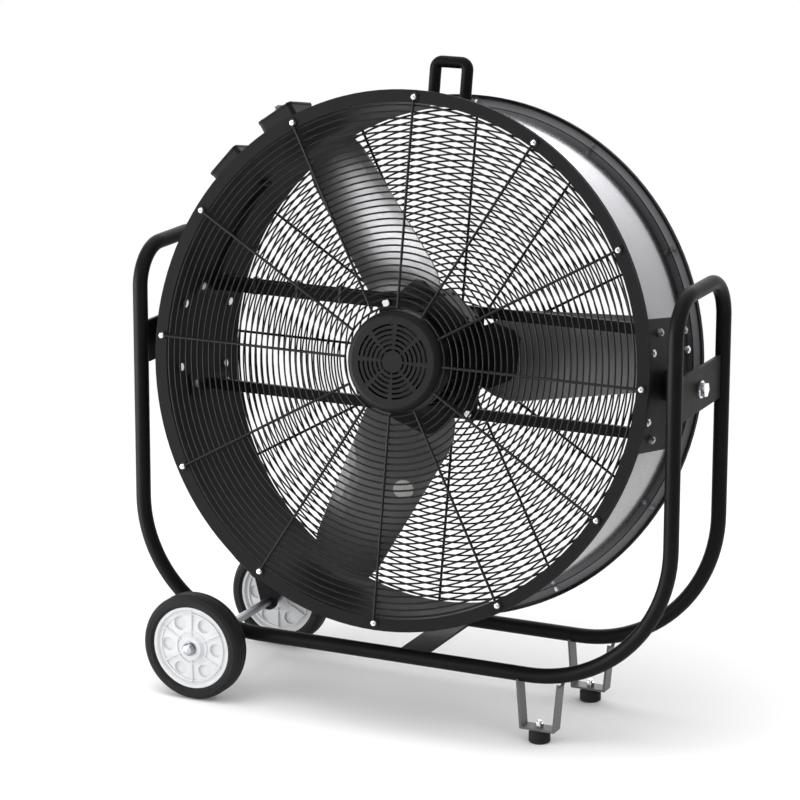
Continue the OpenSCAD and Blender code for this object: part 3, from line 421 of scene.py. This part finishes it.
# The wheel centres are moulded in light grey plastic, slightly mottled, with
# six ribs between the holes and a ring moulded round the bearing.
hub_grey = Finish("hub_grey_plastic", (0.61, 0.62, 0.63), 0.45, specular=0.35)
mottle = hub_grey.noise(30, 5)
scuff = hub_grey.ramp(hub_grey.noise(140, 8, 0.7), (0.58, 0), (0.72, 1))
hub_grey.surface(colour=hub_grey.tint(mottle * 0.5 + scuff * 0.2, (0.68, 0.69, 0.7),
                                      (0.52, 0.52, 0.53)),
                 roughness=0.38 + mottle * 0.14, height=hub_grey.noise(800, 2),
                 depth=0.0001, strength=0.3)
dress(hub_grey, "front_wheel_hub", "rear_wheel_hub")
web_face = 0.0115
rib_count = 6
rib_from, rib_length, rib_width, rib_height = 0.0235, 0.045, 0.0035, 0.0055
moulded_rings = ((0.030, 0.0325, 0.0048), (0.0645, 0.0665, 0.0035))
ring_sides = 64


def rounded_bar(bm, length, width, height, place):
    """A low bar from the origin along x, with its upper edges rounded."""
    bar = bmesh.ops.create_cube(bm, size=1)["verts"]
    bmesh.ops.scale(bm, vec=(length, width, height), verts=bar)
    bmesh.ops.translate(bm, vec=(length / 2, 0, height / 2), verts=bar)
    upper = [e for e in {e for v in bar for e in v.link_edges}
             if all(v.co.z > height * 0.9 for v in e.verts)]
    made = bmesh.ops.bevel(bm, geom=upper, offset=width * 0.3, segments=3, affect="EDGES")
    every = {v for f in made["faces"] for v in f.verts} | {v for v in bar if v.is_valid}
    bmesh.ops.transform(bm, matrix=place, verts=list(every))


for body, side in (("front_wheel", -1), ("rear_wheel", 1)):
    ribs = bmesh.new()
    for face in (-1, 1):
        middle = Vector((axle_x, side * wheel_plane + face * web_face, wheel_radius))
        flat = Matrix.Translation(middle) @ Matrix.Rotation(-face * math.pi / 2, 4, "X")
        for k in range(rib_count):
            spin = Matrix.Rotation(math.radians(30 + 60 * k), 4, "Z")
            rounded_bar(ribs, rib_length, rib_width, rib_height,
                        flat @ spin @ Matrix.Translation((rib_from, 0, 0)))
        for low, high, rim in moulded_rings:
            loops = [[ribs.verts.new(flat @ Vector((r * math.cos(t), r * math.sin(t), z)))
                      for t in [k * math.tau / ring_sides for k in range(ring_sides)]]
                     for r, z in ((low, 0), (low, rim), (high, rim), (high, 0))]
            for a, b in zip(loops, loops[1:]):
                for k in range(ring_sides):
                    following = (k + 1) % ring_sides
                    ribs.faces.new((a[k], a[following], b[following], b[k]))
    keep(body + "_hub_ribs", ribs, hub_grey, body, smooth=False)


# The drum is rolled from sheet and flanged at both ends. Outside it has a
# glossy black coat that mirrors the room at a glance, with a paler grey painted
# at the root of the rear flange as a painted sheen. Inside the coat is thin and dull.
wall_radius = 0.469
flange_radius = 0.490
flange_face = 0.1425
drum_coat = Finish("drum_gloss_coat", (0.0065, 0.0065, 0.007), 0.3, specular=0.12, coat=1.0)
across, upward, outward = [drum_coat.along(pivot, a) for a in (drum_right, drum_up, drum_out)]
reach, _ = drum_coat.round(across, upward)
outside = reach > wall_radius - 0.0008
on_face = outward.maths("ABSOLUTE") > flange_face
gloss = outside * (reach < flange_radius - 0.0025) * (1 - on_face)
wave = drum_coat.noise(5, 3)
peel = drum_coat.noise(420, 2)
haze = drum_coat.ramp(drum_coat.noise(17, 7, 0.65), (0.45, 0), (0.85, 1))
past_wall = (reach - wall_radius) / (flange_radius - wall_radius)
# Painted sheen: a paler grey painted on the rear flange next to the wall, standing in for
# light on it.
painted_sheen = (outward < 0) * (1 - on_face) \
    * drum_coat.ramp(past_wall, (0.02, 0), (0.06, 1), (0.55, 0.9), (0.72, 0))
blackened = drum_coat.tint(haze * 0.5, (0.0055, 0.0055, 0.006), (0.016, 0.0155, 0.017))
drum_coat.surface(colour=drum_coat.tint(painted_sheen * 0.95, blackened, (0.25, 0.25, 0.262)),
                  roughness=0.7 - gloss * 0.46 + haze * 0.08 + wave * 0.06 - 0.03,
                  coat=gloss, height=peel * 0.2 + wave * 6.0, depth=0.00012, strength=0.3)
dress(drum_coat, "drum_shell")


# The saddle plates, bosses, cross bars, motor plate and handle are steel with
# a dull black coat. The plates are bolted through the drum's wall.
inner_coat = powder_coat("drum_fittings_coat", 0.005, 0.5, dust=0.2, specular=0.06)
dress(inner_coat, "left_saddle_plate", "right_saddle_plate", "pivot_bosses",
      "upper_crossbar", "lower_crossbar", "crossbar_feet", "motor_plate", "top_handle")

# The wall is closed by one seam weld below. The handle stands on two welded
# collars, and each cross bar is welded to its curved feet.
beads = bmesh.new()
seam = math.radians(262)
seam_half = 0.138
seed += 1
weld_bead(beads, [(wall_radius * math.cos(seam), wall_radius * math.sin(seam), n)
                  for n in (-seam_half, seam_half)], 0.0022, seed)
handle_at = (-0.008, -0.030)
handle_half = 0.032
collar = 0.017
for side in (-1, 1):
    seed += 1
    middle = handle_at[0] + side * handle_half
    loop = []
    for k in range(25):
        t = k * math.tau / 24
        x = middle + collar * math.cos(t)
        loop.append((x, math.sqrt(wall_radius * wall_radius - x * x),
                     handle_at[1] + collar * math.sin(t)))
    weld_bead(beads, loop, 0.002, seed)
foot_reach = 0.463
bar_up = 0.094
bar_half = 0.010
bar_n = -0.020
for z in (-bar_up, bar_up):
    for side in (-1, 1):
        for n in (bar_n - bar_half - 0.0006, bar_n + bar_half + 0.0006):
            seed += 1
            ends = [(side * math.sqrt(foot_reach ** 2 - q * q), q, n)
                    for q in (z - bar_half + 0.001, z, z + bar_half - 0.001)]
            weld_bead(beads, ends, 0.0018, seed)
keep("drum_weld_beads", beads, inner_coat, "drum", place=in_drum)


# The guards are black wire: twelve radial wires with screw tabs over rings of
# thinner wire, with a small spot weld at every crossing. The rings have a
# thick dipped coat.
guard_black = powder_coat("guard_powder_coat", 0.0065, 0.5, dust=0.1, specular=0.15)
dress(guard_black, "front_guard_spokes", "front_guard_rings", "rear_guard_spokes",
      "rear_guard_rings")
ring_out = 0.462
ring_pitch = 0.012
ring_plane = 0.1422
weld_plane = 0.14355
coat_radius = 0.00175
spoke_count = 12
spot_size = 0.0013


def hoop(bm, radius, thick, plane):
    """A round ring about the drum's axis."""
    turns, sides = 96, 6
    loops = [[bm.verts.new(((radius + thick * math.cos(t)) * math.cos(a),
                            (radius + thick * math.cos(t)) * math.sin(a),
                            plane + thick * math.sin(t)))
              for t in [k * math.tau / sides for k in range(sides)]]
             for a in [k * math.tau / turns for k in range(turns)]]
    for low, high in zip(loops, loops[1:] + loops[:1]):
        for k in range(sides):
            bm.faces.new((low[k], high[k], high[(k + 1) % sides], low[(k + 1) % sides]))


for name, inner, side in (("front", 0.099, 1), ("rear", 0.020, -1)):
    spots = bmesh.new()
    hand = random.Random(3 + side)
    for spoke in range(spoke_count):
        angle = spoke * math.tau / spoke_count
        radius = ring_out - ring_pitch
        while radius > inner + 0.006:
            size = spot_size * hand.uniform(0.85, 1.2)
            at = Matrix.Translation((radius * math.cos(angle), radius * math.sin(angle),
                                     side * weld_plane)) @ \
                Matrix.Rotation(angle, 4, "Z") @ \
                Matrix.Diagonal((size * 1.1, size * 1.9, size * 0.8, 1))
            bmesh.ops.create_icosphere(spots, subdivisions=1, radius=1, matrix=at)
            radius -= ring_pitch
    keep(name + "_guard_spot_welds", spots, guard_black, "drum", place=in_drum)
    dip = bmesh.new()
    for ring in range(1, int((ring_out - inner) / ring_pitch)):
        hoop(dip, ring_out - ring * ring_pitch, coat_radius, side * ring_plane)
    keep(name + "_guard_ring_coat", dip, guard_black, "drum", place=in_drum)


# The motor is a finned cast body in black enamel, with a pressed cowl over
# its cooling fan and a cast terminal box. Its fan is dark moulded plastic on
# the bright turned shaft.
motor_enamel = powder_coat("motor_enamel", 0.0075, 0.45, dust=0.2, specular=0.08)
dress(motor_enamel, "motor_flange", "motor_body", "motor_cowl", "terminal_box",
      "terminal_lid")
fan_from = 0.112
shaft_radius = 0.0125
turned_steel = (0.56, 0.56, 0.57)
shaft = Finish("turned_shaft_steel", turned_steel, 0.3, metallic=1.0)
across, upward, outward = [shaft.along(pivot, a) for a in (drum_right, drum_up, drum_out)]
reach, _ = shaft.round(across, upward)
plastic = (outward > fan_from) * (reach > shaft_radius)
lathe = shaft.noise(1500, 2)
shaft.surface(colour=shaft.tint(plastic, turned_steel, (0.008, 0.008, 0.009)),
              metallic=1 - plastic, roughness=0.28 + plastic * 0.35 + lathe * 0.06,
              height=lathe, depth=0.00005, strength=0.3)
dress(shaft, "motor_shaft")


# The motor lead has a matt rubber sheath. Three nylon ties hold it down, each
# with its ratchet head and a cut tail on top of the lead.
dress(moulded_rubber("lead_sheath", 0.008, 1500), "motor_lead")
tie_black = Finish("tie_nylon", (0.012, 0.012, 0.012), 0.4, specular=0.3)
tie_black.surface(roughness=0.34 + tie_black.noise(90, 5) * 0.2,
                  height=tie_black.noise(1300, 2), depth=0.0001, strength=0.2)
dress(tie_black, "lead_ties", "cable_gland")
heads = bmesh.new()
motor_plate_half = 0.105
tie_pitch = (foot_reach - motor_plate_half) / 4
ratchet = (0.007, 0.0075, 0.0045)
cut_tail = (0.009, 0.0035, 0.0012)
on_lead = Matrix.Rotation(-math.pi / 2, 4, "X")
for tie in (1, 2, 3):
    x = -foot_reach + tie * tie_pitch + 0.0025
    rounded_bar(heads, *ratchet,
                Matrix.Translation((x - ratchet[0] / 2, 0.1137, -0.0145)) @ on_lead)
    rounded_bar(heads, *cut_tail,
                Matrix.Translation((x, 0.1168, -0.0155)) @ on_lead
                @ Matrix.Rotation(math.pi / 2, 4, "Z"))
keep("lead_tie_heads", heads, tie_black, "drum", smooth=False, place=in_drum)


# The two boxes on the drum are pressed steel in satin black, with flat lids.
# The knob on the switch box is moulded plastic with a ridged grip and a
# printed pointer.
box_black = powder_coat("box_enamel", 0.0075, 0.5, dust=0.25, specular=0.1)
dress(box_black, "switch_box", "switch_lid", "capacitor_box", "capacitor_lid")
knob_black = (0.011, 0.011, 0.012)
knob_plastic = Finish("knob_plastic", knob_black, 0.32, specular=0.45)
knob_turn = math.radians(125.5)
knob_n = 0.045
knob_axis = drum_right * math.cos(knob_turn) + drum_up * math.sin(knob_turn)
knob_side = drum_up * math.cos(knob_turn) - drum_right * math.sin(knob_turn)
knob_at = pivot + drum_out * knob_n
sideways = knob_plastic.along(knob_at, knob_side)
forward = knob_plastic.along(knob_at, drum_out)
height = knob_plastic.along(knob_at, knob_axis)
pointer_half = 0.0008
pointer_from = 0.004
knob_top = 0.5405
grip_top = 0.5325
pointer = (sideways.maths("ABSOLUTE") < pointer_half) * (forward > pointer_from) \
    * (height > knob_top)
_, bearing = knob_plastic.round(sideways, forward)
ridges = (bearing * 36).maths("SINE") > 0
knob_plastic.surface(colour=knob_plastic.tint(pointer, knob_black, (0.8, 0.8, 0.8)),
                     roughness=0.3 + knob_plastic.noise(200, 4) * 0.12,
                     height=ridges * (height < grip_top), depth=0.0005, strength=0.6)
dress(knob_plastic, "selector_knob")

# Under the knob lies a thin brushed plate, a dial with twelve printed ticks
# and a printed edge.
bare_dial = (0.5, 0.51, 0.52)
tick_low, tick_high, edge_low = 0.0235, 0.0265, 0.0282
dial = Finish("dial_plate", bare_dial, 0.35, metallic=1.0)
sideways = dial.along(knob_at, knob_side)
forward = dial.along(knob_at, drum_out)
reach, bearing = dial.round(sideways, forward)
step = bearing / (math.pi / 6)
near_tick = step - (step + 0.5).maths("FLOOR")
tick = (near_tick.maths("ABSOLUTE") < 0.045) * (reach > tick_low) * (reach < tick_high)
ink = tick.maths("MAXIMUM", reach > edge_low)
brush = dial.noise(900, 2, place=dial.node("VectorMath", {"operation": "MULTIPLY"},
                                           {0: dial.place, 1: (1, 0.05, 1)}))
dial.surface(colour=dial.tint(ink, bare_dial, (0.01, 0.01, 0.01)),
             metallic=1 - ink, roughness=0.32 + brush * 0.12, height=brush,
             depth=0.00005, strength=0.3)
plate = bmesh.new()
dial_radius = 0.0295
dial_bevel = 0.0004
bmesh.ops.create_cone(plate, cap_ends=True, segments=96, radius1=dial_radius,
                      radius2=dial_radius - dial_bevel, depth=0.0006)
box_depth = 0.054
lid_thick = 0.004
lid_top = wall_radius + box_depth + lid_thick
on_lid = Matrix.Translation(knob_at + knob_axis * (lid_top + 0.0001)) @ \
    Matrix((knob_side, drum_out, -knob_axis)).transposed().to_4x4()
keep("selector_dial_plate", plate, dial, "drum", smooth=False, place=on_lid)


# The rotor: three pressed blades riveted to a pitched three-arm plate on the
# motor shaft. The blades are in gloss black enamel that mirrors the room, with
# a film of grime towards the tips and a blank round plate on one of them.
disc_at = (-0.065, -0.258)
disc_radius = 0.019
disc_inside = 0.0175
blade_gloss = Finish("blade_gloss_enamel", (0.04, 0.04, 0.041), 0.3, specular=1.0,
                     coat=1.0)
blade_gloss.shader.inputs["Coat Roughness"].default_value = 0.26
across, upward = [blade_gloss.along(pivot, a) for a in (drum_right, drum_up)]
from_disc, _ = blade_gloss.round(across - disc_at[0], upward - disc_at[1])
faces_out = blade_gloss.node("VectorMath", {"operation": "DOT_PRODUCT"},
                             {0: blade_gloss.node("TexCoord", out="Normal"),
                              1: tuple(drum_out)}, out="Value")
disc = (from_disc < disc_radius) * (faces_out > 0.0)
rim = disc * (from_disc > disc_inside)
reach, _ = blade_gloss.round(across, upward)
sweep = blade_gloss.noise(7, 4)
film = blade_gloss.ramp(reach * 2.0 + sweep * 0.2, (0.35, 0), (1.0, 1))
dusting = blade_gloss.ramp(blade_gloss.noise(48, 8, 0.7), (0.5, 0), (0.8, 1))
enamel = blade_gloss.tint(dusting * 0.2 + film * 0.15, (0.08, 0.079, 0.077),
                          (0.13, 0.127, 0.12))
plain = blade_gloss.tint(rim, (0.52, 0.52, 0.5), (0.12, 0.12, 0.12))
blade_gloss.surface(colour=blade_gloss.tint(disc, enamel, plain),
                    roughness=0.3 + sweep * 0.1 + dusting * 0.05 + disc * 0.2,
                    coat=1 - disc * 0.8,
                    height=disc * 3.0 + blade_gloss.noise(240, 2), depth=0.00012,
                    strength=0.25)
dress(blade_gloss, "rotor_blades")
dress(powder_coat("hub_enamel", 0.009, 0.35, dust=0.2), "hub_plate", "blade_rivets")


# The fan stands on a plain pale floor, which keeps its soft shadow and fades
# into a white room.
floor_pale = Finish("pale_floor", (0.9, 0.9, 0.9), 0.9, specular=0.05)
floor_middle = (0, 0.1, 0)
floor_reach = 2.4
reach, _ = floor_pale.round(floor_pale.along(floor_middle, (1, 0, 0)),
                            floor_pale.along(floor_middle, (0, 1, 0)))
floor_pale.surface(colour=floor_pale.tint(floor_pale.noise(3, 3), (0.89, 0.89, 0.89),
                                          (0.91, 0.91, 0.91)))
fade = floor_pale.ramp(reach / floor_reach, (0.3, 1), (1.0, 0))
floor_pale.put(floor_pale.shader.inputs["Alpha"], fade)
ground = bmesh.new()
bmesh.ops.create_grid(ground, x_segments=2, y_segments=2, size=6)
ground_mesh = bpy.data.meshes.new("floor")
ground.to_mesh(ground_mesh)
ground.free()
ground_mesh.materials.append(floor_pale.material)
floor = bpy.data.objects.new("floor", ground_mesh)
floor.location = (0, 0, -0.0005)
bpy.context.scene.collection.objects.link(floor)

# The room is white. Mirrored in the fan, it is white behind and at the sides
# and dark on the camera's side, as with black flags beside a camera. A large
# soft box at the left front is mirrored by the upper left blade.
room = bpy.data.worlds.new("white_room")
room.use_nodes = True
bpy.context.scene.world = room
sky = room.node_tree


def sky_node(kind, *links, **settings):
    """Adds a node to the room: what is linked to its sockets, then its settings."""
    made = sky.nodes.new("ShaderNode" + kind)
    for key, value in settings.items():
        if hasattr(made, key):
            setattr(made, key, value)
        else:
            made.inputs[key].default_value = value
    for socket, wire in links:
        sky.links.new(wire, made.inputs[socket])
    return made


def spread(wire, start, end, low, high, curve="LINEAR"):
    """Turns start to end on a wire into low to high."""
    made = sky_node("MapRange", ("Value", wire), interpolation_type=curve)
    for key, value in (("From Min", start), ("From Max", end), ("To Min", low),
                       ("To Max", high)):
        made.inputs[key].default_value = value
    return made.outputs[0]


diffuse_room = sky.nodes["Background"]
diffuse_room.inputs["Color"].default_value = (1, 1, 1, 1)
diffuse_room.inputs["Strength"].default_value = 1.12
direction = sky_node("TexCoord").outputs["Generated"]
heading = sky_node("SeparateXYZ", ("Vector", direction))
behind = spread(heading.outputs["Y"], -0.1, 0.85, 0.08, 1.0, "SMOOTHSTEP")
at_sides = spread(heading.outputs["X"], -0.1, 0.45, 2.8, 1.0)
backdrop = sky_node("Math", (0, behind), (1, at_sides), operation="MULTIPLY")
toward_box = sky_node("VectorMath", (0, direction), operation="DOT_PRODUCT")
toward_box.inputs[1].default_value = (-0.79, -0.59, -0.17)
soft_box = spread(toward_box.outputs["Value"], 0.86, 0.94, 0.0, 13.0, "SMOOTHSTEP")
mirrored_light = sky_node("Math", (0, backdrop.outputs[0]), (1, soft_box), operation="ADD")
mirrored_room = sky_node("Background", ("Strength", mirrored_light.outputs[0]))
mirrored_room.inputs["Color"].default_value = (0.97, 0.96, 1, 1)
seen_room = sky_node("Background", Color=(1, 1, 1, 1), Strength=1.0)
ray = sky_node("LightPath")
mirrored = sky_node("MixShader", ("Fac", ray.outputs["Is Glossy Ray"]),
                    (1, diffuse_room.outputs[0]), (2, mirrored_room.outputs[0]))
direct = sky_node("Math", (0, ray.outputs["Is Camera Ray"]),
                  (1, ray.outputs["Is Transmission Ray"]), operation="MAXIMUM")
choose = sky_node("MixShader", ("Fac", direct.outputs[0]),
                  (1, mirrored.outputs[0]), (2, seen_room.outputs[0]))
sky.links.new(choose.outputs[0], sky.nodes["World Output"].inputs["Surface"])

# A large soft lamp hangs over the fan. Two weak ones at the sides of the
# camera shape the tubes and the tyres.
lamp_aim = Vector((0, 0, 0.6))
for name, place, size, power in (("lamp_top", (-0.6, -0.9, 4.6), 2.6, 70),
                                 ("lamp_right", (3.6, -1.6, 2.6), 2.0, 18),
                                 ("lamp_left", (-1.83, -1.69, 0.85), 1.5, 16)):
    lamp = bpy.data.objects.new(name, bpy.data.lights.new(name, "AREA"))
    lamp.data.size = size
    lamp.data.energy = power
    lamp.location = place
    lamp.rotation_euler = (lamp_aim - Vector(place)).to_track_quat("-Z", "Y").to_euler()
    bpy.context.scene.collection.objects.link(lamp)
